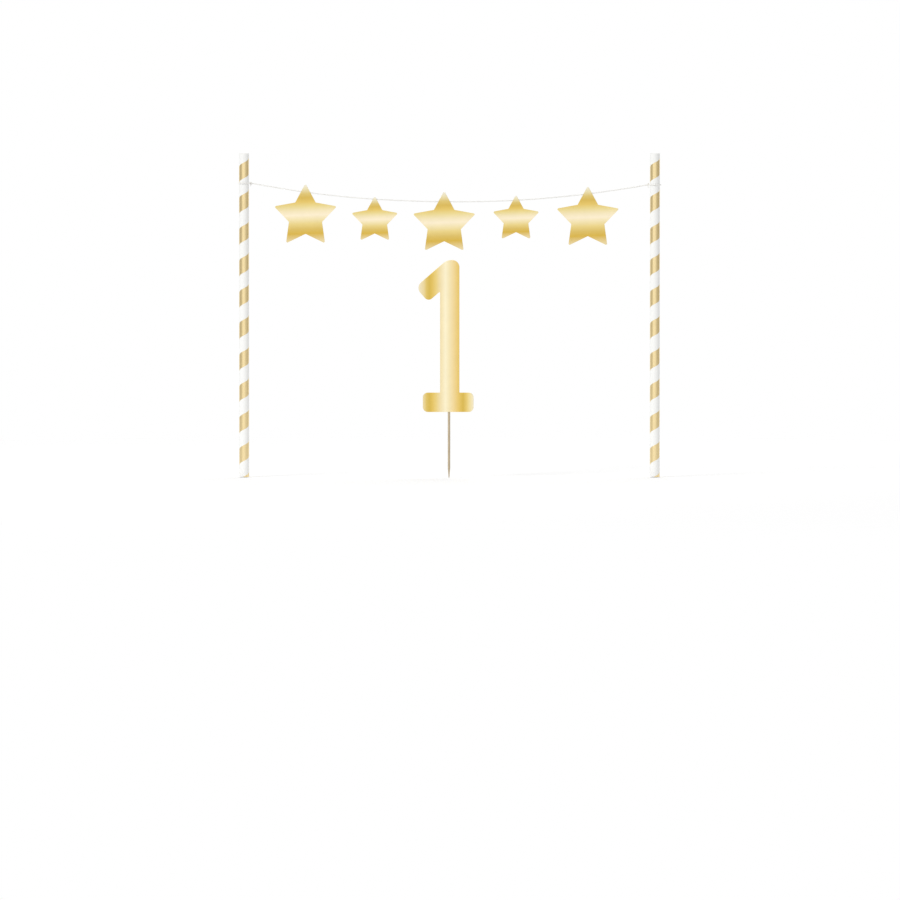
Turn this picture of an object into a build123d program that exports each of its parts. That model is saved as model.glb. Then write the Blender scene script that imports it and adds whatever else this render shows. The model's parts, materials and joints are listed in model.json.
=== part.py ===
from build123d import *
from math import asin, atan2, cos, degrees, hypot, pi, radians, sin, tan
import os

# A cake topper: two paper straws hold a string of card stars between them, and a card numeral
# on a wooden stick stands in front. Millimetres, +Z up, -Y to the front. The origin is midway
# between the straws, level with their feet.

# Paper straws, wound from plies of paper
straw_length = 197.0
straw_diameter = 6.0
ply_thickness = 0.16
ply_names = ("inner", "middle", "outer")

# String, and the points of its route in the plane of the straws' axes: x, depth below their tops
string_diameter = 0.8
string_route = [
    (-120.4, 18.17), (-112.6, 19.56), (-98.2, 22.04), (-77.0, 25.02), (-56.1, 27.14),
    (-34.8, 28.50), (-13.5, 29.30), (7.1, 29.45), (28.95, 29.11), (52.05, 27.87),
    (73.8, 25.86), (94.6, 23.29), (111.1, 20.80), (120.4, 19.18),
]
arc_share = 0.45  # of the shorter run beside a corner, taken up by its arc

# Each end of the string goes once round its straw, into a knot on the side of the stars
loop_clearance = 0.03
knot_diameter = 1.8
knot_half_angle = 13.0  # about the straw's axis
knot_seat_gap = 0.1
string_bite = 0.3  # how far the string's end reaches into the knot

# Card stars. Each hangs at the middle of a run of the string, which passes behind its top point
card_thickness = 0.5
large_star_radius = 20.2
small_star_radius = 15.05
star_waist = 0.525  # radius of the inner corners over that of the points
star_points = 5
point_rounding = 0.7
waist_rounding = 0.2
stars = [  # run of the string, large or small, tip above the string
    (2, "large", 5.32),
    (4, "small", 2.0),
    (6, "large", 6.68),
    (8, "small", 3.48),
    (10, "large", 4.98),
]

# Paper tape tabs, folded over the string and stuck down the backs of the stars
tape_thickness = 0.12
tab_running_clearance = 0.05
large_tab_width = 3.0
large_tab_length = 9.0
small_tab_width = 1.2
small_tab_length = 6.5

# Numeral, cut from the same card. Offsets are from the middle between the straws
number_standoff = 12.0  # from the plane of the straws to the card's back
number_bottom = 39.95
number_height = 92.35
stem_width = 11.75
stem_offset = 0.175
base_width = 30.88
base_height = 11.8
base_offset = -0.76
flag_width = 11.75
flag_length = 25.2
flag_angle = 40.9
flag_inset = 4.11  # from the stem's left edge to where the flag meets the top
corner_rounding = 3.0
top_rounding = 4.4  # at the top of the stem and of the flag's end
crest_rounding = 8.0  # where the flag meets the top
nook_rounding = 0.4

# Wooden stick and the two tapes that hold it to the numeral's back
stick_diameter = 1.5
stick_offset = -0.28
stick_length = 100.0
stick_point_length = 6.0
stick_point_diameter = 0.5
stick_top_bevel = 0.15
stick_tape_width = 10.0
stick_tape_height = 12.0
stick_tape_margin = 4.0  # from the stick's top, and from the numeral's lower edge
stick_tape_half_span = 1.6  # where the tape leaves the card
stick_tape_clearance = 0.02

os.makedirs("parts", exist_ok=True)


def save(piece, name):
    piece.part.label = name
    export_step(piece.part, f"parts/{name}.step")


# Route of the string
route_points = [Vector(x, 0, straw_length - depth) for x, depth in string_route]
runs = [end - start for start, end in zip(route_points, route_points[1:])]
arc_radii = []
for before, after in zip(runs, runs[1:]):
    half_turn = radians(before.get_angle(after) / 2)
    arc_radii.append(arc_share * min(before.length, after.length) / tan(half_turn))


# Straws, and the loops and knots that tie the string to them
straw_radius = straw_diameter / 2
bore_radius = straw_radius - len(ply_names) * ply_thickness
string_radius = string_diameter / 2
loop_radius = straw_radius + loop_clearance + string_radius
knot_radius = knot_diameter / 2
knot_reach = straw_radius + knot_seat_gap + knot_radius
string_end_reach = knot_reach + knot_radius - string_bite
knots = []

for side, string_end, facing in (("left", route_points[0], 1), ("right", route_points[-1], -1)):
    straw_x = string_end.X - facing * string_end_reach
    foot = Plane((straw_x, 0, 0))
    tie_plane = Plane((straw_x, 0, string_end.Z), x_dir=(facing, 0, 0))

    for layer, ply in enumerate(ply_names):
        ply_inner_radius = bore_radius + layer * ply_thickness
        with BuildPart() as straw_ply:
            with BuildSketch(foot):
                Circle(ply_inner_radius + ply_thickness)
                Circle(ply_inner_radius, mode=Mode.SUBTRACT)
            extrude(amount=straw_length)
        save(straw_ply, f"{side}_straw_{ply}_ply")

    with BuildPart() as loop:
        with BuildLine(tie_plane) as round_straw:
            CenterArc((0, 0), loop_radius, knot_half_angle, 360 - 2 * knot_half_angle)
        with BuildSketch(Plane(round_straw.line @ 0, z_dir=round_straw.line % 0)):
            Circle(string_radius)
        sweep()
    save(loop, f"{side}_string_loop")

    with BuildPart() as knot:
        with BuildLine(tie_plane) as through_knot:
            CenterArc((0, 0), knot_reach, -knot_half_angle, 2 * knot_half_angle)
        with BuildSketch(Plane(through_knot.line @ 0, z_dir=through_knot.line % 0)):
            Circle(knot_radius)
        sweep()
    knots.append(knot)
    save(knot, f"{side}_string_knot")


# String, from knot to knot
with BuildPart() as garland_string:
    with BuildLine() as route:
        FilletPolyline(*route_points, radius=arc_radii)
    with BuildSketch(Plane(route_points[0], z_dir=runs[0])):
        Circle(string_radius)
    sweep()
    swept_volume = garland_string.part.volume
    add([knot.part for knot in knots], mode=Mode.SUBTRACT)
save(garland_string, "garland_string")

string_length = route.wire().length
section_volume = pi * string_radius**2 * string_length
print("string arc radii", [round(radius) for radius in arc_radii])
print("string length", round(string_length, 2))
print("string volume over section times length", round(swept_volume / section_volume, 6))


# Stars and their tabs, tilted about the string so that each hangs with its weight below it
star_sizes = {  # star's radius, tab's width and length
    "large": (large_star_radius, large_tab_width, large_tab_length),
    "small": (small_star_radius, small_tab_width, small_tab_length),
}
tab_bore_radius = string_radius + tab_running_clearance
tab_outer_radius = tab_bore_radius + tape_thickness

for number, (run, size, tip_above_string) in enumerate(stars, start=1):
    radius, tab_width, tab_length = star_sizes[size]
    hang_point = (route_points[run] + route_points[run + 1]) / 2
    string_line = Axis(hang_point, runs[run])
    centre_drop = radius - tip_above_string
    tilt = degrees(atan2(tab_outer_radius + card_thickness / 2, centre_drop))
    across = Vector(1, 0, 0).rotate(string_line, tilt)
    forward = Vector(0, -1, 0).rotate(string_line, tilt)

    outline = []
    rounding = []
    for corner in range(2 * star_points):
        reach = radius if corner % 2 == 0 else radius * star_waist
        angle = pi / 2 + corner * pi / star_points
        outline.append((reach * cos(angle), reach * sin(angle) - centre_drop))
        rounding.append(point_rounding if corner % 2 == 0 else waist_rounding)

    with BuildPart() as star:
        with BuildSketch(Plane(hang_point, across, forward).offset(tab_outer_radius)):
            with BuildLine():
                FilletPolyline(*outline, radius=rounding, close=True)
            make_face()
        extrude(amount=card_thickness)
    save(star, f"star_{number}")

    with BuildPart() as tab:
        with BuildSketch(Plane(hang_point, -forward, runs[run])):
            Circle(tab_outer_radius)
            with Locations((-tab_outer_radius, 0)):
                Rectangle(2 * tape_thickness, tab_length, align=(Align.MIN, Align.MAX))
            Circle(tab_bore_radius, mode=Mode.SUBTRACT)
        extrude(amount=tab_width / 2, both=True)
    save(tab, f"star_{number}_hanging_tab")
    swing_axis = [round(part, 5) for part in runs[run].normalized()]
    print(f"star_{number} hangs at", [round(part, 3) for part in hang_point], "axis", swing_axis)


# Numeral
number_top = number_bottom + number_height
base_top = number_bottom + base_height
stem_left = stem_offset - stem_width / 2
stem_right = stem_offset + stem_width / 2
base_left = base_offset - base_width / 2
base_right = base_offset + base_width / 2
along_flag = Vector(cos(radians(flag_angle)), sin(radians(flag_angle)))
across_flag = Vector(sin(radians(flag_angle)), -cos(radians(flag_angle)))
flag_crest = Vector(stem_left + flag_inset, number_top)
flag_upper = flag_crest - along_flag * flag_length
flag_lower = flag_upper + across_flag * flag_width
flag_root = flag_lower + along_flag * ((stem_left - flag_lower.X) / along_flag.X)

number_outline = [  # corner, rounding
    ((base_left, number_bottom), corner_rounding),
    ((base_right, number_bottom), corner_rounding),
    ((base_right, base_top), corner_rounding),
    ((stem_right, base_top), nook_rounding),
    ((stem_right, number_top), top_rounding),
    (flag_crest, crest_rounding),
    (flag_upper, top_rounding),
    (flag_lower, corner_rounding),
    (flag_root, nook_rounding),
    ((stem_left, base_top), nook_rounding),
    ((base_left, base_top), corner_rounding),
]
with BuildPart() as number_card:
    with BuildSketch(Plane.XZ.offset(number_standoff)):
        with BuildLine():
            FilletPolyline(
                *[corner for corner, _ in number_outline],
                radius=[corner_radius for _, corner_radius in number_outline],
                close=True,
            )
        make_face()
    extrude(amount=card_thickness)
save(number_card, "number_card")


# Stick, lying along the numeral's back
stick_radius = stick_diameter / 2
stick_foot = Plane((stick_offset, stick_radius - number_standoff, 0), (1, 0, 0), (0, -1, 0))
with BuildPart() as number_stick:
    with BuildSketch(stick_foot):
        with BuildLine():
            Polyline(
                (0, 0),
                (stick_point_diameter / 2, 0),
                (stick_radius, stick_point_length),
                (stick_radius, stick_length - stick_top_bevel),
                (stick_radius - stick_top_bevel, stick_length),
                (0, stick_length),
                close=True,
            )
        make_face()
    revolve(axis=Axis(stick_foot.origin, (0, 0, 1)))
save(number_stick, "number_stick")


# Tapes over the stick: flat on the card, then straight up to the stick and round it
arch_radius = stick_radius + stick_tape_clearance
foot_to_axis = hypot(stick_tape_half_span, stick_radius)
rise = atan2(stick_radius, stick_tape_half_span) + asin(arch_radius / foot_to_axis)
slope_length = (foot_to_axis**2 - arch_radius**2) ** 0.5
slope_top = (-stick_tape_half_span + slope_length * cos(rise), slope_length * sin(rise))

for name, tape_bottom in (
    ("lower", number_bottom + stick_tape_margin),
    ("upper", stick_length - stick_tape_margin - stick_tape_height),
):
    with BuildPart() as stick_tape:
        with BuildSketch(Plane((stick_offset, -number_standoff, tape_bottom))):
            with BuildLine():
                Polyline((-stick_tape_width / 2, 0), (-stick_tape_half_span, 0), slope_top)
                ThreePointArc(
                    slope_top, (0, stick_radius + arch_radius), (-slope_top[0], slope_top[1])
                )
                Polyline(
                    (-slope_top[0], slope_top[1]), (stick_tape_half_span, 0), (stick_tape_width / 2, 0)
                )
                offset(amount=tape_thickness, side=Side.LEFT)
            make_face()
        extrude(amount=stick_tape_height)
    save(stick_tape, f"stick_tape_{name}")
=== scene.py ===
import bmesh
import bpy
import json
from math import atan2, ceil, cos, exp, hypot, pi, radians, sin
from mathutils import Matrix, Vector, noise


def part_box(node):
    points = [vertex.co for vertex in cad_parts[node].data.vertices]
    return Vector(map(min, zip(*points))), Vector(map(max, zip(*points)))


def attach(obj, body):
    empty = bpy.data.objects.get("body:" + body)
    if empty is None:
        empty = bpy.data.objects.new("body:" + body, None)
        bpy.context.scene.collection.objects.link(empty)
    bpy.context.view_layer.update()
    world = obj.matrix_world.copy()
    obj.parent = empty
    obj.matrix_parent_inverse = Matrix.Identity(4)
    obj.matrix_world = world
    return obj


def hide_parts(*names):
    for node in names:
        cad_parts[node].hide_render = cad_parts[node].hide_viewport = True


# A cake topper: striped paper straws, a string of gold card stars, a gold numeral on a stick.
# Sizes in the dictionaries are millimetres, the scene is in metres, and -Y is the front.
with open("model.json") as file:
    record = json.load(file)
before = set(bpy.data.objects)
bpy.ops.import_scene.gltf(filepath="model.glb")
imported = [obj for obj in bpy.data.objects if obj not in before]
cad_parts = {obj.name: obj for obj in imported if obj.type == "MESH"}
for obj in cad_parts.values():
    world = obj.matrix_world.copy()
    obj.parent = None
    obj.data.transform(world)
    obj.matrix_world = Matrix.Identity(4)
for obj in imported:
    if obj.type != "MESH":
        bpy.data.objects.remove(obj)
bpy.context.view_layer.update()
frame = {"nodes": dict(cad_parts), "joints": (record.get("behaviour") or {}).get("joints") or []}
mm = 0.001
weld = 1e-7  # metres; points nearer than this are one
garland = "straws_and_string"
pick = "number_pick"
print("frame loaded:", len(frame["nodes"]), "nodes")


def linear(hexColour):
    parts = [int(hexColour[i:i + 2], 16) / 255 for i in (1, 3, 5)]
    return [p / 12.92 if p <= 0.04045 else ((p + 0.055) / 1.055) ** 2.4 for p in parts] + [1.0]


def addNode(tree, kind, inputs=None, ramp=(), **settings):
    node = tree.nodes.new("ShaderNode" + kind)
    for name, value in settings.items():
        setattr(node, name, value)
    for socket, value in (inputs or {}).items():
        if isinstance(value, bpy.types.NodeSocket):
            tree.links.new(value, node.inputs[socket])
        else:
            node.inputs[socket].default_value = value
    for index, (place, hexColour) in enumerate(ramp):
        stops = node.color_ramp.elements
        stop = stops[index] if index < 2 else stops.new(place)
        stop.position = place
        stop.color = linear(hexColour)
    return node


def newTree(name):
    material = bpy.data.materials.new(name)
    material.use_nodes = True
    material.node_tree.nodes.clear()
    return material, material.node_tree


# Camera: almost level, aimed a little above the feet, and far off, so that the straws stay parallel
view = {
    "target": (0.33, 0.0, 16.4),  # what lies at the middle of the picture
    "width": 548.1,               # seen from side to side at the straws
    "distance": 6000.0,
    "elevation": 2.0,             # degrees
}


def addCamera():
    lens = bpy.data.cameras.new("camera")
    lens.lens = lens.sensor_width * view["distance"] / view["width"]
    camera = bpy.data.objects.new("camera", lens)
    bpy.context.scene.collection.objects.link(camera)
    tilt = radians(view["elevation"])
    away = Vector((0, -cos(tilt), sin(tilt)))
    camera.location = (Vector(view["target"]) + away * view["distance"]) * mm
    camera.rotation_euler = away.to_track_quat("Z", "Y").to_euler()
    bpy.context.scene.camera = camera


addCamera()
print("camera set")


# Materials

# Hot-stamped gold foil on card: smooth, bright, with painted reflections: soft bands of pale and deep gold
# painted into its colour, where real foil would mirror its surroundings
foil = {
    "grain": 0.35,                # the card's texture showing through, drawn coarser than real
    "grainRelief": 0.02,
    "mottle": 6.0,                # faint cloudiness of the stamping
    "mottleFac": (0.3, 0.7),      # most of the noise lies between these
    "mottleTone": (0.985, 1.01),
    "roughness": (0.28, 0.33),
    "metallic": 0.85,
    "starAlong": (-0.035, 0, 1),  # up the star, with a slight lean
    # painted reflection bands on the star
    "starPaintedReflections": (                # from the feet to the top point
        (0.00, "#ecd9a6"), (0.135, "#dab64e"), (0.215, "#dec068"), (0.305, "#ecd58b"),
        (0.385, "#f5e5b4"), (0.455, "#fdefd0"), (0.525, "#f6e7be"), (0.605, "#edda96"),
        (0.685, "#e7c86c"), (0.755, "#dbba5c"), (0.825, "#e0c676"), (0.905, "#ece0b4"),
        (0.985, "#f5efdc"),
    ),
    "numberAlong": (1, 0, 0),
    # painted reflection bands on the numeral
    "numberPaintedReflections": (              # from the slanted arm's tip to the right end of the base
        (0.00, "#f2e6c4"), (0.10, "#ead59b"), (0.145, "#e1c46c"), (0.20, "#d9b956"),
        (0.25, "#e3c262"), (0.32, "#ebd183"), (0.39, "#f1deab"), (0.49, "#fdf2ce"),
        (0.56, "#f5e5b6"), (0.63, "#f2d99d"), (0.71, "#ebcb78"), (0.76, "#e3c262"),
        (0.81, "#d9b853"), (0.87, "#e8cb74"), (0.92, "#f1dd9c"), (1.00, "#f3e9ca"),
    ),
}


def makeFoil(name, along, bands):
    material, tree = newTree(name)
    place = addNode(tree, "TexCoord")
    share = addNode(tree, "VectorMath", {
        0: place.outputs["Generated"], 1: along}, operation="DOT_PRODUCT")
    # painted reflection: the bands of pale and deep gold are laid into the foil's colour along the piece
    paintedReflectionColour = addNode(tree, "ValToRGB", {0: share.outputs["Value"]}, bands)
    cloud = addNode(tree, "TexNoise", {
        "Vector": place.outputs["Object"], "Scale": 1 / (foil["mottle"] * mm), "Detail": 3.0})
    clouded = addNode(tree, "MapRange", {
        "Value": cloud.outputs["Fac"], "From Min": foil["mottleFac"][0], "From Max": foil["mottleFac"][1],
        "To Min": foil["mottleTone"][0], "To Max": foil["mottleTone"][1]})
    colour = addNode(tree, "VectorMath", {
        0: paintedReflectionColour.outputs["Color"], "Scale": clouded.outputs["Result"]}, operation="SCALE")
    dull = addNode(tree, "MapRange", {
        "Value": cloud.outputs["Fac"], "From Min": foil["mottleFac"][0], "From Max": foil["mottleFac"][1],
        "To Min": foil["roughness"][0], "To Max": foil["roughness"][1]})
    grain = addNode(tree, "TexNoise", {
        "Vector": place.outputs["Object"], "Scale": 1 / (foil["grain"] * mm), "Detail": 2.0})
    bump = addNode(tree, "Bump", {
        "Height": grain.outputs["Fac"], "Strength": 0.05, "Distance": foil["grainRelief"] * mm})
    surface = addNode(tree, "BsdfPrincipled", {
        "Base Color": colour.outputs[0], "Metallic": foil["metallic"],
        "Roughness": dull.outputs["Result"], "Normal": bump.outputs["Normal"]})
    addNode(tree, "OutputMaterial", {"Surface": surface.outputs[0]})
    return material


# Uncoated white card and paper: matt, with faint fibres and slightly uneven in tone
paper = {
    "fibre": 0.5,             # drawn coarser than real
    "fleck": 2.2,             # patches of tone
    "toneFac": (0.12, 0.32),  # from shade to colour in the two noises' product
    "relief": 0.02,
    "roughness": 0.75,
}


def makePaper(name, colour, shade, fibre=paper["fibre"], relief=paper["relief"]):
    material, tree = newTree(name)
    place = addNode(tree, "TexCoord")
    fibres = addNode(tree, "TexNoise", {
        "Vector": place.outputs["Object"], "Scale": 1 / (fibre * mm), "Detail": 5.0, "Roughness": 0.65})
    flecks = addNode(tree, "TexNoise", {
        "Vector": place.outputs["Object"], "Scale": 1 / (paper["fleck"] * mm), "Detail": 4.0})
    both = addNode(tree, "Math", {
        0: fibres.outputs["Fac"], 1: flecks.outputs["Fac"]}, operation="MULTIPLY")
    tone = addNode(tree, "ValToRGB", {0: both.outputs[0]}, zip(paper["toneFac"], (shade, colour)))
    bump = addNode(tree, "Bump", {
        "Height": fibres.outputs["Fac"], "Strength": 0.4, "Distance": relief * mm})
    surface = addNode(tree, "BsdfPrincipled", {
        "Base Color": tone.outputs["Color"], "Roughness": paper["roughness"], "IOR": 1.45,
        "Specular IOR Level": 0.35, "Normal": bump.outputs["Normal"]})
    addNode(tree, "OutputMaterial", {"Surface": surface.outputs[0]})
    return material


# Straw paper, offset printed: white stock with a spiral gold stripe, sized and slightly shiny
strawPrint = {
    "lead": 19.1,        # climb of the stripe in one turn
    "goldShare": 0.505,  # of the lead
    "goldFoot": 162.73,  # lower edge of a gold band at the front
    "slack": 0.5,        # the wind is uneven: the stripe lies flatter at the front, steeper at the back
    "wobble": 0.12,      # unevenness of the printed edge
    "wobbleLength": 0.8,
    "fibre": 0.45,       # drawn coarser than real
    "relief": 0.02,
    "white": "#f5f5f3",
    "gold": "#f3deab",
    "deepGold": "#efd8a3",
    "inkFac": (0.3, 0.62),     # from deep gold to gold in the fibres' noise
    "roughness": (0.6, 0.32),  # white, gold
    "goldMetallic": 0.9,
}
stripeFront = strawPrint["goldFoot"] / strawPrint["lead"] + 0.25  # the front, -Y, is a quarter turn back


def makeStrawPrint():
    material, tree = newTree("printed straw paper")
    wobble = strawPrint["wobble"] * mm
    place = addNode(tree, "TexCoord")
    spot = addNode(tree, "SeparateXYZ", {0: place.outputs["Object"]})
    angle = addNode(tree, "Math", {0: spot.outputs["Y"], 1: spot.outputs["X"]}, operation="ARCTAN2")
    sideways = addNode(tree, "Math", {0: angle.outputs[0]}, operation="COSINE")
    eased = addNode(tree, "Math", {
        0: sideways.outputs[0], 1: -strawPrint["slack"], 2: angle.outputs[0]}, operation="MULTIPLY_ADD")
    turns = addNode(tree, "Math", {0: eased.outputs[0], 1: 2 * pi}, operation="DIVIDE")
    edge = addNode(tree, "TexNoise", {
        "Vector": place.outputs["Object"], "Scale": 1 / (strawPrint["wobbleLength"] * mm), "Detail": 3.0})
    uneven = addNode(tree, "MapRange", {
        "Value": edge.outputs["Fac"], "To Min": -wobble, "To Max": wobble})
    height = addNode(tree, "Math", {
        0: spot.outputs["Z"], 1: uneven.outputs["Result"]}, operation="ADD")
    climb = addNode(tree, "Math", {0: height.outputs[0], 1: strawPrint["lead"] * mm}, operation="DIVIDE")
    wound = addNode(tree, "Math", {0: climb.outputs[0], 1: turns.outputs[0]}, operation="SUBTRACT")
    shifted = addNode(tree, "Math", {0: wound.outputs[0], 1: stripeFront}, operation="SUBTRACT")
    phase = addNode(tree, "Math", {0: shifted.outputs[0]}, operation="FRACT")
    gold = addNode(tree, "Math", {
        0: phase.outputs[0], 1: strawPrint["goldShare"]}, operation="LESS_THAN")
    fibres = addNode(tree, "TexNoise", {
        "Vector": place.outputs["Object"], "Scale": 1 / (strawPrint["fibre"] * mm), "Detail": 5.0,
        "Roughness": 0.6})
    golds = zip(strawPrint["inkFac"], (strawPrint["deepGold"], strawPrint["gold"]))
    ink = addNode(tree, "ValToRGB", {0: fibres.outputs["Fac"]}, golds)
    colour = addNode(tree, "Mix", {
        "Factor": gold.outputs[0], 6: linear(strawPrint["white"]), 7: ink.outputs["Color"]},
        data_type="RGBA")
    metal = addNode(tree, "Math", {
        0: gold.outputs[0], 1: strawPrint["goldMetallic"]}, operation="MULTIPLY")
    dull = addNode(tree, "MapRange", {
        "Value": gold.outputs[0],
        "To Min": strawPrint["roughness"][0], "To Max": strawPrint["roughness"][1]})
    bump = addNode(tree, "Bump", {
        "Height": fibres.outputs["Fac"], "Strength": 0.25, "Distance": strawPrint["relief"] * mm})
    surface = addNode(tree, "BsdfPrincipled", {
        "Base Color": colour.outputs[2], "Metallic": metal.outputs[0], "Roughness": dull.outputs["Result"],
        "Normal": bump.outputs["Normal"]})
    addNode(tree, "OutputMaterial", {"Surface": surface.outputs[0]})
    return material


# Twisted cotton: soft, matt, with a fuzz that catches light at its edges
yarn = {
    "fibre": 0.12,  # drawn coarser than real
    "relief": 0.02,
    "tones": ((0.3, "#f1f0ec"), (0.65, "#fcfbf8")),
}


def makeCotton():
    material, tree = newTree("twisted cotton")
    place = addNode(tree, "TexCoord")
    fibres = addNode(tree, "TexNoise", {
        "Vector": place.outputs["Object"], "Scale": 1 / (yarn["fibre"] * mm), "Detail": 4.0})
    tone = addNode(tree, "ValToRGB", {0: fibres.outputs["Fac"]}, yarn["tones"])
    bump = addNode(tree, "Bump", {
        "Height": fibres.outputs["Fac"], "Strength": 0.35, "Distance": yarn["relief"] * mm})
    surface = addNode(tree, "BsdfPrincipled", {
        "Base Color": tone.outputs["Color"], "Roughness": 0.9, "Specular IOR Level": 0.2,
        "Sheen Weight": 0.25, "Normal": bump.outputs["Normal"]})
    addNode(tree, "OutputMaterial", {"Surface": surface.outputs[0]})
    return material


# Creped paper tape: cream, matt, with fine ridges across its length, and painted shade that darkens its
# tone in the ridges' troughs
crepe = {
    "pitch": 0.5,   # from ridge to ridge, drawn coarser than real
    "relief": 0.03,
    "tones": ((0.1, "#e6dcc3"), (0.8, "#eee5cf")),
}


def makeCrepe(name, along):
    material, tree = newTree(name)
    place = addNode(tree, "TexCoord")
    perMetre = 2 * pi / (20 * crepe["pitch"] * mm)  # at scale 1 the wave goes through 20 radians in a metre
    ridges = addNode(tree, "TexWave", {
        "Vector": place.outputs["Object"], "Scale": perMetre, "Distortion": 3.0, "Detail": 3.0,
        "Detail Scale": 1.5}, bands_direction=along)
    # painted shade: the tone follows the ridges' height, darker in the troughs
    tone = addNode(tree, "ValToRGB", {0: ridges.outputs["Fac"]}, crepe["tones"])
    bump = addNode(tree, "Bump", {
        "Height": ridges.outputs["Fac"], "Strength": 0.6, "Distance": crepe["relief"] * mm})
    surface = addNode(tree, "BsdfPrincipled", {
        "Base Color": tone.outputs["Color"], "Roughness": 0.7, "Specular IOR Level": 0.3,
        "Normal": bump.outputs["Normal"]})
    addNode(tree, "OutputMaterial", {"Surface": surface.outputs[0]})
    return material


# Split bamboo: tan, with long dark fibre streaks along the stick
bambooGrain = {
    "streakWidth": 0.18,
    "streakLength": 6.0,
    "relief": 0.03,
    "tones": ((0.3, "#907e60"), (0.45, "#b9a789"), (0.7, "#cebfa3")),
}


def makeBamboo():
    material, tree = newTree("split bamboo")
    place = addNode(tree, "TexCoord")
    squeeze = bambooGrain["streakWidth"] / bambooGrain["streakLength"]
    stretch = addNode(tree, "Mapping", {
        "Vector": place.outputs["Object"], "Scale": (1.0, 1.0, squeeze)})
    streaks = addNode(tree, "TexNoise", {
        "Vector": stretch.outputs[0], "Scale": 1 / (bambooGrain["streakWidth"] * mm), "Detail": 4.0,
        "Roughness": 0.6})
    tone = addNode(tree, "ValToRGB", {0: streaks.outputs["Fac"]}, bambooGrain["tones"])
    bump = addNode(tree, "Bump", {
        "Height": streaks.outputs["Fac"], "Strength": 0.5, "Distance": bambooGrain["relief"] * mm})
    surface = addNode(tree, "BsdfPrincipled", {
        "Base Color": tone.outputs["Color"], "Roughness": 0.55, "IOR": 1.5,
        "Normal": bump.outputs["Normal"]})
    addNode(tree, "OutputMaterial", {"Surface": surface.outputs[0]})
    return material


starFoil = makeFoil("gold foil, star", foil["starAlong"], foil["starPaintedReflections"])
numberFoil = makeFoil("gold foil, numeral", foil["numberAlong"], foil["numberPaintedReflections"])
cardBack = makePaper("uncoated white card", "#f0efea", "#eae8e2")
cardEdge = makePaper("die-cut card edge", "#eee9dc", "#dbd4c2", fibre=0.15, relief=0.03)
strawPaper = makeStrawPrint()
plainPaper = makePaper("plain straw paper", "#f0eee6", "#e2dfd4", fibre=0.3)
cotton = makeCotton()
tabCrepe = makeCrepe("creped paper tape, tab", "Z")
stickCrepe = makeCrepe("creped paper tape, stick", "X")
bamboo = makeBamboo()
print("materials made:", len(bpy.data.materials))


def addPiece(name, bm, materials, body, nodes, origin=(0, 0, 0), sharp=40):
    bmesh.ops.recalc_face_normals(bm, faces=bm.faces)
    mesh = bpy.data.meshes.new(name)
    bm.to_mesh(mesh)
    bm.free()
    for material in materials:
        mesh.materials.append(material)
    mesh.shade_smooth()
    mesh.set_sharp_from_angle(angle=radians(sharp))
    piece = bpy.data.objects.new(name, mesh)
    piece.location = origin
    bpy.context.scene.collection.objects.link(piece)
    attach(piece, body)
    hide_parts(*nodes)
    return piece


def addLoopFaces(bm, first, second, materialIndex):
    for k in range(len(first)):
        n = (k + 1) % len(first)
        face = bm.faces.new((first[k], first[n], second[n], second[k]))
        face.material_index = materialIndex


# Straws: three wound plies each, the outer one with a seam along the stripe
strawWall = {
    "columns": 72,
    "rowsPerTurn": 8,
    "seamPlace": 0.62,   # of the lead above the stripe's lower edge, in the white
    "seamWidth": 0.22,
    "seamDepth": 0.05,
    "raggedEnd": 0.07,   # how far the cut end falls short in places
    "raggedWaves": 3,
    "plySeed": 7,        # gives each ply a cut end of its own
    "rimBevel": 0.03,
}


def stripeTurns(angle):
    return (angle - strawPrint["slack"] * cos(angle)) / (2 * pi)


def addWoundWall(bm, length, radius, seamDepth, materialIndex):
    lead = strawPrint["lead"]
    seam = (stripeFront + strawWall["seamPlace"]) % 1
    half = strawWall["seamWidth"] / lead / 2
    rows = strawWall["rowsPerTurn"]
    ticks = [seam]
    if seamDepth:
        ticks = [seam + step * half for step in (-2, -1, 0, 1, 2)]
        ticks += [seam + 2 * half + (1 - 4 * half) * k / rows for k in range(1, rows)]
    # The rows climb with the stripe, and those past the ends are pulled in to the cut
    phases = sorted(turn + tick for turn in range(-3, ceil(length / lead) + 2) for tick in ticks)
    grid = []
    for column in range(strawWall["columns"] + 1):
        angle = 2 * pi * column / strawWall["columns"]
        line = []
        for phase in phases:
            z = min(max(lead * (phase + stripeTurns(angle)), 0), length)
            offSeam = (z / lead - stripeTurns(angle) - seam + 0.5) % 1 - 0.5
            r = radius - seamDepth * max(0, 1 - abs(offSeam) / half)
            line.append(bm.verts.new((r * cos(angle) * mm, r * sin(angle) * mm, z * mm)))
        grid.append(line)
    for left, right in zip(grid, grid[1:]):
        for k in range(len(phases) - 1):
            face = bm.faces.new((left[k], right[k], right[k + 1], left[k + 1]))
            face.material_index = materialIndex


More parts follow.
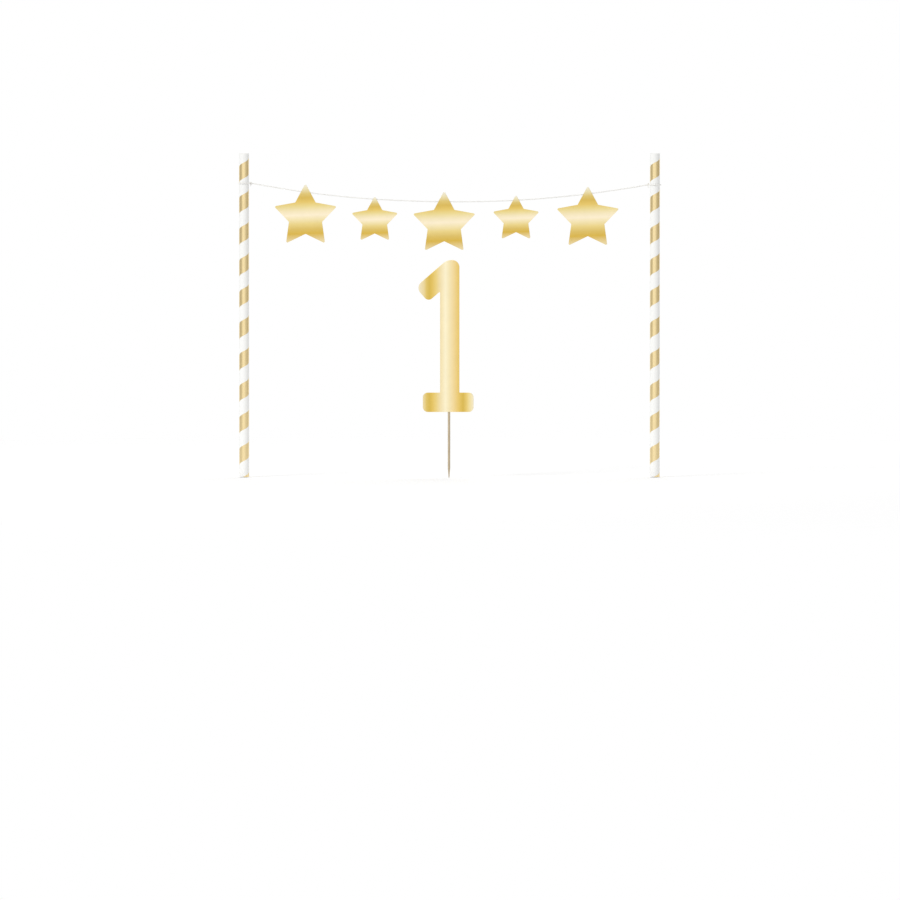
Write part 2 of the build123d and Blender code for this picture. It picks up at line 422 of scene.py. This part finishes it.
def makePly(side, ply, layer, materials):
    node = f"{side}_straw_{ply}_ply"
    low, high = (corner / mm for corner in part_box(node))
    length = high.z - low.z
    radius = (high.x - low.x) / 2
    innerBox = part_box(f"{side}_straw_inner_ply")
    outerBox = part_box(f"{side}_straw_outer_ply")
    wall = ((outerBox[1].x - outerBox[0].x) - (innerBox[1].x - innerBox[0].x)) / 4 / mm
    bm = bmesh.new()
    bare = len(materials) - 1
    addWoundWall(bm, length, radius, strawWall["seamDepth"] if ply == "outer" else 0, 0)
    addWoundWall(bm, length, radius - wall, 0, bare)
    bmesh.ops.remove_doubles(bm, verts=bm.verts, dist=weld)
    middle = (radius - wall / 2) * mm
    bevel = strawWall["rimBevel"] * mm
    waves = strawWall["raggedWaves"]
    for end, inward in ((0, 1), (length * mm, -1)):
        rim = {v for e in bm.edges if e.is_boundary for v in e.verts if abs(v.co.z - end) < weld}
        rim = sorted(rim, key=lambda v: atan2(v.co.y, v.co.x))
        outerRim = [v for v in rim if v.co.xy.length > middle]
        innerRim = [v for v in rim if v.co.xy.length < middle]
        loops = [outerRim, [], [], innerRim]
        for outer, inner in zip(outerRim, innerRim):
            spot = outer.co.xy.normalized()
            place = (spot.x * waves + layer * strawWall["plySeed"], spot.y * waves, inward)
            ragged = 0.5 + 0.5 * noise.noise(place)
            top = end + inward * strawWall["raggedEnd"] * mm * ragged
            for vert, loop, step in ((outer, loops[1], -1), (inner, loops[2], 1)):
                reach = vert.co.xy.length + step * bevel
                loop.append(bm.verts.new((spot.x * reach, spot.y * reach, top)))
                vert.co.z = top + inward * bevel
        for first, second in zip(loops, loops[1:]):
            addLoopFaces(bm, first, second, bare)
    origin = Vector(((low.x + high.x) / 2, (low.y + high.y) / 2, low.z)) * mm
    addPiece(node.replace("_ply", "_paper"), bm, materials, garland, [node], origin, sharp=50)


for side in ("left", "right"):
    makePly(side, "outer", 2, [strawPaper, plainPaper])
    makePly(side, "middle", 1, [plainPaper])
    makePly(side, "inner", 0, [plainPaper])
print("straws wound")


# String: four twisted strands along its route, a loop round each straw and a knot at each end
string = {
    "diameter": 0.8,
    "strands": 4,
    "lay": 2.4,          # length of one twist
    "plump": 1.2,        # soft strands press into each other, so the grooves are shallow
    "sides": 8,
    "length": 242.1,
    "route": (           # x, depth below the straws' tops
        (-120.4, 18.17), (-112.6, 19.56), (-98.2, 22.04), (-77.0, 25.02), (-56.1, 27.14),
        (-34.8, 28.50), (-13.5, 29.30), (7.1, 29.45), (28.95, 29.11), (52.05, 27.87),
        (73.8, 25.86), (94.6, 23.29), (111.1, 20.80), (120.4, 19.18),
    ),
    "splineSteps": 90,
    "loopSteps": 180,
    "loopGap": 2.0,      # degrees left open on each side of the knot
    "liftAngle": 15.0,   # degrees from the knot, where the loop leaves the straw for it
    "knotSteps": 151,
    "knotRing": 0.58,    # the knot's curve runs round a small ring
    "knotTube": 0.27,
    "knotDepth": 0.42,   # along the string
    "knotShift": 0.15,   # towards the stars, so that the string goes into it
    "knotThread": 0.5,   # pulled tight, the thread is thinner there
    "tailSteps": 12,
    "tailFrom": (0.0, -0.5, -0.5),   # from the knot's middle: to the stars, back, up
    "tailReach": (0.15, -0.2, -1.3),
}
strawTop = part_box("left_straw_outer_ply")[1].z


def routePoints():
    curve = bpy.data.curves.new("string route", "CURVE")
    curve.dimensions = "3D"
    spline = curve.splines.new("NURBS")
    spline.points.add(len(string["route"]) - 1)
    for point, (x, depth) in zip(spline.points, string["route"]):
        point.co = (x * mm, 0, strawTop - depth * mm, 1)
    spline.order_u = 3
    spline.use_endpoint_u = True
    spline.resolution_u = string["splineSteps"]
    line = bpy.data.objects.new("string route", curve)
    mesh = bpy.data.meshes.new_from_object(line)
    points = [vert.co.copy() for vert in mesh.vertices]
    bpy.data.objects.remove(line)
    bpy.data.meshes.remove(mesh)
    return points


def addStrands(bm, path, diameter):
    count = string["strands"]
    strand = string["plump"] * diameter / 2 / (1 + 1 / sin(pi / count))
    offset = diameter / 2 - strand
    along = 0.0
    start = (path[1] - path[0]).normalized()
    side = Vector((0, 1, 0)) if abs(start.y) < 0.9 else Vector((0, 0, 1))  # never along the path
    rings = [[] for _ in range(count)]
    for i, point in enumerate(path):
        tangent = (path[min(i + 1, len(path) - 1)] - path[max(i - 1, 0)]).normalized()
        side = (side - tangent * side.dot(tangent)).normalized()
        other = tangent.cross(side)
        if i:
            along += (point - path[i - 1]).length
        for k in range(count):
            turn = 2 * pi * (k / count + along / (string["lay"] * mm))
            outward = side * cos(turn) + other * sin(turn)
            across = tangent.cross(outward)
            centre = point + outward * offset * mm
            ring = []
            for s in range(string["sides"]):
                a = 2 * pi * s / string["sides"]
                ring.append(bm.verts.new(centre + (outward * cos(a) + across * sin(a)) * strand * mm))
            rings[k].append(ring)
    for strandRings in rings:
        for first, second in zip(strandRings, strandRings[1:]):
            addLoopFaces(bm, first, second, 0)
        bm.faces.new(strandRings[0][::-1])
        bm.faces.new(strandRings[-1])


def makeTie(side, end, facing):
    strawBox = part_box(f"{side}_straw_outer_ply")
    axis = Vector(((strawBox[0].x + strawBox[1].x) / 2, 0, end.z))
    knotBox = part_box(f"{side}_string_knot")
    reach = abs((knotBox[0].x + knotBox[1].x) / 2 - axis.x) / mm
    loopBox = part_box(f"{side}_string_loop")
    loopRadius = (loopBox[1].y - loopBox[0].y) / 2 / mm - string["diameter"] / 2

    loopPath = []
    for step in range(string["loopSteps"] + 1):
        swept = (360 - 2 * string["loopGap"]) * step / string["loopSteps"]
        angle = radians(string["loopGap"] + swept)
        fromKnot = min(angle, 2 * pi - angle)
        r = loopRadius + (reach - loopRadius) * exp(-(fromKnot / radians(string["liftAngle"])) ** 2)
        loopPath.append(axis + Vector((facing * r * cos(angle), r * sin(angle), 0)) * mm)
    bm = bmesh.new()
    addStrands(bm, loopPath, string["diameter"])
    loop = addPiece(f"{side}_string_round_straw", bm, [cotton], garland,
                    [f"{side}_string_loop"], sharp=60)

    # A trefoil, the shape of an overhand knot, and the short end that sticks out of it
    knotPath = []
    for step in range(string["knotSteps"]):
        t = 2 * pi * step / string["knotSteps"]
        r = string["knotRing"] + string["knotTube"] * cos(3 * t)
        depth = reach + string["knotShift"] + string["knotDepth"] * sin(3 * t)
        knotPath.append(axis + Vector((facing * depth, r * cos(2 * t), r * sin(2 * t))) * mm)
    tailPath = []
    for step in range(string["tailSteps"] + 1):
        spot = Vector(string["tailFrom"]) + Vector(string["tailReach"]) * step / string["tailSteps"]
        tailPath.append(axis + Vector((facing * (reach + spot.x), spot.y, spot.z)) * mm)
    bm = bmesh.new()
    addStrands(bm, knotPath, string["knotThread"])
    addStrands(bm, tailPath, string["knotThread"])
    knot = addPiece(f"{side}_overhand_knot", bm, [cotton], garland,
                    [f"{side}_string_knot"], sharp=60)
    return [loop, knot]


stringPath = routePoints()
ties = makeTie("left", stringPath[0], 1) + makeTie("right", stringPath[-1], -1)
bm = bmesh.new()
addStrands(bm, stringPath, string["diameter"])
twine = addPiece("twisted_string", bm, [cotton], garland, ["garland_string"], sharp=60)
print("string twisted:", len(stringPath), "points")


# Card: die-cut, so the front edge is rounded over and the back edge is crisp
card = {
    "rim": (             # inset from the outline, depth behind the front
        (0.30, 0.0), (0.12, 0.0), (0.045, 0.02), (0.01, 0.06), (0.0, 0.12),
        (0.0, 0.46), (0.03, 0.5), (0.30, 0.5),
    ),
    "foilTo": 3,         # the foil goes this many steps over the rim
    "edgeTo": 6,
    "flatAngle": 0.4,    # degrees; corners flatter than this are taken out of the outline
    "outlineStep": 1.2,
    "mitreLimit": 0.5,
    "starRings": (0.9, 0.78, 0.64, 0.5, 0.36, 0.2),
    "bow": 0.45,         # how far the stars' arms curl forward
}


def frontOutline(node):
    bm = bmesh.new()
    bm.from_mesh(frame["nodes"][node].data)
    bmesh.ops.remove_doubles(bm, verts=bm.verts, dist=weld)
    bmesh.ops.dissolve_limit(
        bm, angle_limit=radians(card["flatAngle"]), verts=bm.verts, edges=bm.edges)
    face = max((f for f in bm.faces if f.normal.y < -0.9), key=lambda f: f.calc_area())
    corners = [vert.co.copy() for vert in face.verts]
    forward = face.normal.copy()
    bm.free()
    outline = []
    for here, there in zip(corners, corners[1:] + corners[:1]):
        pieces = max(1, round((there - here).length / (card["outlineStep"] * mm)))
        outline += [here.lerp(there, k / pieces) for k in range(pieces)]
    return outline, forward


def insetLoop(outline, forward, distance):
    inset = []
    for before, here, after in zip(outline[-1:] + outline[:-1], outline, outline[1:] + outline[:1]):
        inFirst = forward.cross(here - before).normalized()
        inSecond = forward.cross(after - here).normalized()
        inward = (inFirst + inSecond).normalized()
        inset.append(here + inward * distance / max(card["mitreLimit"], inward.dot(inFirst)))
    return inset


def addCard(bm, outline, forward):
    loops = []
    for inset, depth in card["rim"]:
        points = insetLoop(outline, forward, inset * mm)
        loops.append([bm.verts.new(p - forward * depth * mm) for p in points])
    for step, (first, second) in enumerate(zip(loops, loops[1:])):
        index = 0 if step < card["foilTo"] else 1 if step < card["edgeTo"] else 2
        addLoopFaces(bm, first, second, index)
    return loops[0], loops[-1]


def fillStar(bm, loop, materialIndex):
    rim = [vert.co.copy() for vert in loop]
    centre = sum(rim, Vector()) / len(rim)
    for share in card["starRings"]:
        ring = [bm.verts.new(centre.lerp(p, share)) for p in rim]
        addLoopFaces(bm, loop, ring, materialIndex)
        loop = ring
    middle = bm.verts.new(centre)
    for k in range(len(loop)):
        face = bm.faces.new((loop[k], loop[(k + 1) % len(loop)], middle))
        face.material_index = materialIndex


def makeStar(number):
    node = f"star_{number}"
    outline, forward = frontOutline(node)
    bm = bmesh.new()
    front, back = addCard(bm, outline, forward)
    fillStar(bm, front, 0)
    fillStar(bm, back, 2)
    low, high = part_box(node)
    middle, halfWidth = (low + high) / 2, (high.x - low.x) / 2
    for vert in bm.verts:
        across = (vert.co.x - middle.x) / halfWidth
        vert.co += forward * card["bow"] * mm * across * across
    materials = [starFoil, cardEdge, cardBack]
    addPiece(f"gold_star_{number}", bm, materials, node, [node], sharp=30)


def makeNumber():
    outline, forward = frontOutline("number_card")
    bm = bmesh.new()
    front, back = addCard(bm, outline, forward)
    bm.faces.new(front).material_index = 0
    bm.faces.new(back).material_index = 2
    materials = [numberFoil, cardEdge, cardBack]
    addPiece("gold_numeral", bm, materials, pick, ["number_card"], sharp=30)


for number in range(1, 6):
    makeStar(number)
makeNumber()
print("cards cut")


# Tape: cut on a toothed blade, so its ends are saw-edged
tape = {
    "thickness": 0.12,
    "tooth": 0.7,
    "toothDepth": 0.22,
    "lift": 0.03,                    # small wrinkles stand this far off
    "wrinkles": (1.7, 0.8),          # per millimetre, along and across
    "columnStep": 0.175,
    "stringGap": 0.05,
    "tabWidths": (3.0, 1.2),         # wide, narrow
    "longTab": 8.0,                  # a tab longer than this is a wide one
    "tabShort": 0.25,                # the tab ends this far above its solid's lowest corner
    "tabEnd": 3.0,                   # the lower part of its front leg
    "tabFold": 1.6,                  # how far below the string the two legs meet
    "tabStep": 0.7,                  # the back leg ends this far above the front one
    "tabRows": (8, 14, 20, 12, 16),  # front leg's end and rest, bend, fold, back leg
    "stickGap": 0.02,
    "stickHalfSpan": 1.6,            # where the tape leaves the card for the stick
    "stickRows": (16, 6, 16),        # flat, slope, arch
}


def addTape(name, spine, across, width, body, nodes, material):
    columns = max(8, round(width / tape["columnStep"]))
    lengths = [0.0]
    for here, there in zip(spine, spine[1:]):
        lengths.append(lengths[-1] + (there - here).length / mm)
    bm = bmesh.new()
    layers = []
    for layer in (-0.5, 0.5):
        grid = []
        for column in range(columns + 1):
            sideways = width * (column / columns - 0.5)
            tooth = abs((sideways / tape["tooth"]) % 1 - 0.5) * 2 * tape["toothDepth"]
            line = []
            for k, point in enumerate(spine):
                along = spine[min(k + 1, len(spine) - 1)] - spine[max(k - 1, 0)]
                along.normalize()
                outward = along.cross(across)
                spot = point + across * sideways * mm + outward * layer * tape["thickness"] * mm
                if k in (0, len(spine) - 1):
                    spot += along * tooth * mm * (1 if k == 0 else -1)
                place = (lengths[k] * tape["wrinkles"][0], sideways * tape["wrinkles"][1], width)
                spot += outward * tape["lift"] * mm * max(0, noise.noise(place))
                line.append(bm.verts.new(spot))
            grid.append(line)
        layers.append(grid)
        for left, right in zip(grid, grid[1:]):
            for k in range(len(spine) - 1):
                bm.faces.new((left[k], right[k], right[k + 1], left[k + 1]))
    under, over = layers
    for column in (0, -1):
        low, high = under[column], over[column]
        for k in range(len(spine) - 1):
            bm.faces.new((low[k], low[k + 1], high[k + 1], high[k]))
    for k in (0, -1):
        for column in range(columns):
            bm.faces.new((under[column][k], under[column + 1][k], over[column + 1][k], over[column][k]))
    addPiece(name, bm, [material], body, nodes, sharp=45)


# Up the star's back, round the string, and down again on itself
def makeTab(number):
    node = f"star_{number}_hanging_tab"
    joint = next(j for j in frame["joints"] if j["child"] == f"star_{number}")
    hang, along = Vector(joint["pos_m"]), Vector(joint["axis"]).normalized()
    forward = frontOutline(f"star_{number}")[1]
    down = forward.cross(along)
    down *= -1 if down.z > 0 else 1
    length = (hang.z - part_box(node)[0].z) / mm - tape["tabShort"]
    wide, narrow = tape["tabWidths"]
    width = wide if length > tape["longTab"] else narrow
    middle = string["diameter"] / 2 + tape["stringGap"] + tape["thickness"] / 2
    inner = middle - tape["thickness"]
    end, fold = tape["tabEnd"], tape["tabFold"]
    endRows, legRows, bendRows, foldRows, backRows = tape["tabRows"]
    path = [(middle, length - end * k / endRows) for k in range(endRows)]
    path += [(middle, (length - end) * (1 - k / legRows)) for k in range(legRows)]
    bend = [pi * k / bendRows for k in range(bendRows + 1)]
    path += [(middle * cos(a), -middle * sin(a)) for a in bend]
    for k in range(1, foldRows + 1):
        ease = (1 - cos(pi * k / foldRows)) / 2
        path.append((-middle + (inner + middle) * ease, fold * k / foldRows))
    back = length - tape["tabStep"] - fold
    path += [(inner, fold + back * k / backRows) for k in range(1, backRows + 1)]
    spine = [hang + (forward * f + down * d) * mm for f, d in path]
    addTape(f"star_{number}_tape_tab", spine, along, width, f"star_{number}", [node], tabCrepe)


# Flat on the card, straight up to the stick, round it, and down the same way
def makeStickTape(name):
    node = f"stick_tape_{name}"
    low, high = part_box(node)
    stickLow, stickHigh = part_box("number_stick")
    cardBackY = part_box("number_card")[1].y / mm
    centreX, centreZ = (low.x + high.x) / 2 / mm, (low.z + high.z) / 2 / mm
    radius = (stickHigh.x - stickLow.x) / 2 / mm
    half = tape["thickness"] / 2
    arch = radius + tape["stickGap"] + half
    halfSpan, halfWidth = tape["stickHalfSpan"], (high.x - low.x) / 2 / mm
    toAxis = hypot(halfSpan, radius)
    slope = (toAxis**2 - arch**2) ** 0.5
    rise = atan2(radius, halfSpan) + atan2(arch, slope)
    flatRows, slopeRows, archRows = tape["stickRows"]
    leg = [(-halfWidth + (halfWidth - halfSpan) * k / flatRows, half) for k in range(flatRows)]
    for k in range(slopeRows):
        climbed = slope * k / slopeRows
        leg.append((-halfSpan + climbed * cos(rise), half + climbed * sin(rise)))
    angles = [pi / 2 + rise - 2 * rise * k / archRows for k in range(archRows + 1)]
    path = leg + [(arch * cos(a), radius + arch * sin(a)) for a in angles]
    path += [(-x, y) for x, y in reversed(leg)]
    spine = [Vector((centreX + x, cardBackY + y, centreZ)) * mm for x, y in path]
    upright = Vector((0, 0, 1))
    addTape(f"{node}_strip", spine, upright, (high.z - low.z) / mm, pick, [node], stickCrepe)


for number in range(1, 6):
    makeTab(number)
for name in ("lower", "upper"):
    makeStickTape(name)
print("tapes stuck down")


# Stick: split and turned, a little uneven, with a cut point
stick = {
    "sides": 20,
    "rows": 90,
    "pointRows": 10,
    "pointLength": 6.0,
    "pointRadius": 0.25,
    "bevel": 0.15,
    "dent": 0.02,
    "dentLength": 9.0,
    "dentsRound": 2,
}


def makeStick():
    low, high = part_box("number_stick")
    radius, length = (high.x - low.x) / 2 / mm, (high.z - low.z) / mm
    tip, tipLength = stick["pointRadius"], stick["pointLength"]
    straight = length - tipLength - stick["bevel"]
    shares = [k / stick["pointRows"] for k in range(stick["pointRows"] + 1)]
    profile = [(tipLength * share, tip + (radius - tip) * share) for share in shares]
    shares = [k / stick["rows"] for k in range(1, stick["rows"] + 1)]
    profile += [(tipLength + straight * share, radius) for share in shares]
    profile.append((length, radius - stick["bevel"]))
    around = stick["dentsRound"]
    bm = bmesh.new()
    rings = []
    for z, r in profile:
        ring = []
        for s in range(stick["sides"]):
            a = 2 * pi * s / stick["sides"]
            place = (around * cos(a), around * sin(a), z / stick["dentLength"])
            dented = r - stick["dent"] * max(0, noise.noise(place))
            ring.append(bm.verts.new((dented * cos(a) * mm, dented * sin(a) * mm, z * mm)))
        rings.append(ring)
    for first, second in zip(rings, rings[1:]):
        addLoopFaces(bm, first, second, 0)
    bm.faces.new(rings[0][::-1])
    bm.faces.new(rings[-1])
    origin = Vector(((low.x + high.x) / 2, (low.y + high.y) / 2, low.z))
    addPiece("bamboo_stick", bm, [bamboo], pick, ["number_stick"], origin)


makeStick()
print("stick split")


# Studio: a pale floor that fades into white, a soft key from the left and a top light
studio = {
    "floorRadius": 900.0,
    "floorSides": 96,
    "floorDrop": 0.2,     # below the feet, so that it doesn't cut into them
    "floorColour": "#fafafa",
    "fadeFrom": 0.3,      # of the radius
    "floorLift": 0.06,    # brings the floor up to the white behind it, where it is seen
    "ambient": 0.66,
    "aim": (0, 0, 110),
    "lamps": (            # name, place, size, watts
        ("key", (-2250, -2680, 2100), 1600, 58.0),
        ("top", (300, 700, 1500), 1100, 6.0),
    ),
    "flagHeight": 1800,
    "flags": (            # place, width, colour: two grey cards, and paler ones in front of them
        ((-1500, 0, 700), 2000, "#d6d1c6"), ((-1500, -1450, 700), 900, "#e6e3da"),
        ((1500, 0, 700), 2000, "#bfbaae"), ((1500, -2150, 700), 2300, "#dad6cc"),
    ),
}


# 1 where the eye looks, straight, in a mirror or through a clear thing, 0 for light on a piece
def seenRays(tree):
    ray = addNode(tree, "LightPath")
    seen = addNode(tree, "Math", {
        0: ray.outputs["Is Camera Ray"], 1: ray.outputs["Is Glossy Ray"]}, operation="MAXIMUM")
    through = addNode(tree, "Math", {
        0: seen.outputs[0], 1: ray.outputs["Is Transmission Ray"]}, operation="MAXIMUM")
    return through.outputs[0]


def addFloor():
    radius = studio["floorRadius"] * mm
    bm = bmesh.new()
    bmesh.ops.create_circle(bm, cap_ends=True, segments=studio["floorSides"], radius=radius)
    mesh = bpy.data.meshes.new("floor")
    bm.to_mesh(mesh)
    bm.free()
    material, tree = newTree("pale floor")
    place = addNode(tree, "TexCoord")
    far = addNode(tree, "VectorMath", {0: place.outputs["Object"]}, operation="LENGTH")
    fade = addNode(tree, "MapRange", {
        "Value": far.outputs["Value"], "From Min": radius * studio["fadeFrom"], "From Max": radius},
        interpolation_type="SMOOTHSTEP")
    lift = addNode(tree, "Math", {0: seenRays(tree), 1: studio["floorLift"]}, operation="MULTIPLY")
    glow = addNode(tree, "Emission", {"Strength": lift.outputs[0]})
    matt = addNode(tree, "BsdfDiffuse", {"Color": linear(studio["floorColour"])})
    surface = addNode(tree, "AddShader", {0: matt.outputs[0], 1: glow.outputs[0]})
    clear = addNode(tree, "BsdfTransparent")
    mixed = addNode(tree, "MixShader", {
        0: fade.outputs["Result"], 1: surface.outputs[0], 2: clear.outputs[0]})
    addNode(tree, "OutputMaterial", {"Surface": mixed.outputs[0]})
    mesh.materials.append(material)
    floor = bpy.data.objects.new("floor", mesh)
    floor.location.z = -studio["floorDrop"] * mm
    bpy.context.scene.collection.objects.link(floor)


# Grey cards at both sides, seen only in reflections, so that round gold shades off to its edges
def addFlags():
    up = studio["flagHeight"] / 2
    for (x, y, z), width, grey in studio["flags"]:
        material, tree = newTree("grey card")
        surface = addNode(tree, "BsdfDiffuse", {"Color": linear(grey)})
        addNode(tree, "OutputMaterial", {"Surface": surface.outputs[0]})
        mesh = bpy.data.meshes.new("flag")
        near, far = y - width / 2, y + width / 2
        corners = [(x, near, z - up), (x, far, z - up), (x, far, z + up), (x, near, z + up)]
        mesh.from_pydata([Vector(corner) * mm for corner in corners], [], [(0, 1, 2, 3)])
        mesh.materials.append(material)
        flag = bpy.data.objects.new("flag", mesh)
        flag.visible_camera = False
        flag.visible_diffuse = False
        flag.visible_shadow = False
        bpy.context.scene.collection.objects.link(flag)


def addWorld():
    world = bpy.data.worlds.new("white room")
    bpy.context.scene.world = world
    world.use_nodes = True
    tree = world.node_tree
    tree.nodes.clear()
    level = addNode(tree, "MapRange", {
        "Value": seenRays(tree), "To Min": studio["ambient"], "To Max": 1.0})
    sky = addNode(tree, "Background", {"Color": (1, 1, 1, 1), "Strength": level.outputs["Result"]})
    addNode(tree, "OutputWorld", {"Surface": sky.outputs[0]})


def addLamps():
    aim = Vector(studio["aim"]) * mm
    for name, place, size, watts in studio["lamps"]:
        light = bpy.data.lights.new(name, "AREA")
        light.shape = "DISK"
        light.size = size * mm
        light.energy = watts
        lamp = bpy.data.objects.new(name, light)
        lamp.location = Vector(place) * mm
        lamp.rotation_euler = (lamp.location - aim).to_track_quat("Z", "Y").to_euler()
        bpy.context.scene.collection.objects.link(lamp)


addFloor()
addFlags()
addWorld()
addLamps()
bpy.context.scene.view_settings.view_transform = "Standard"
print("studio lit")
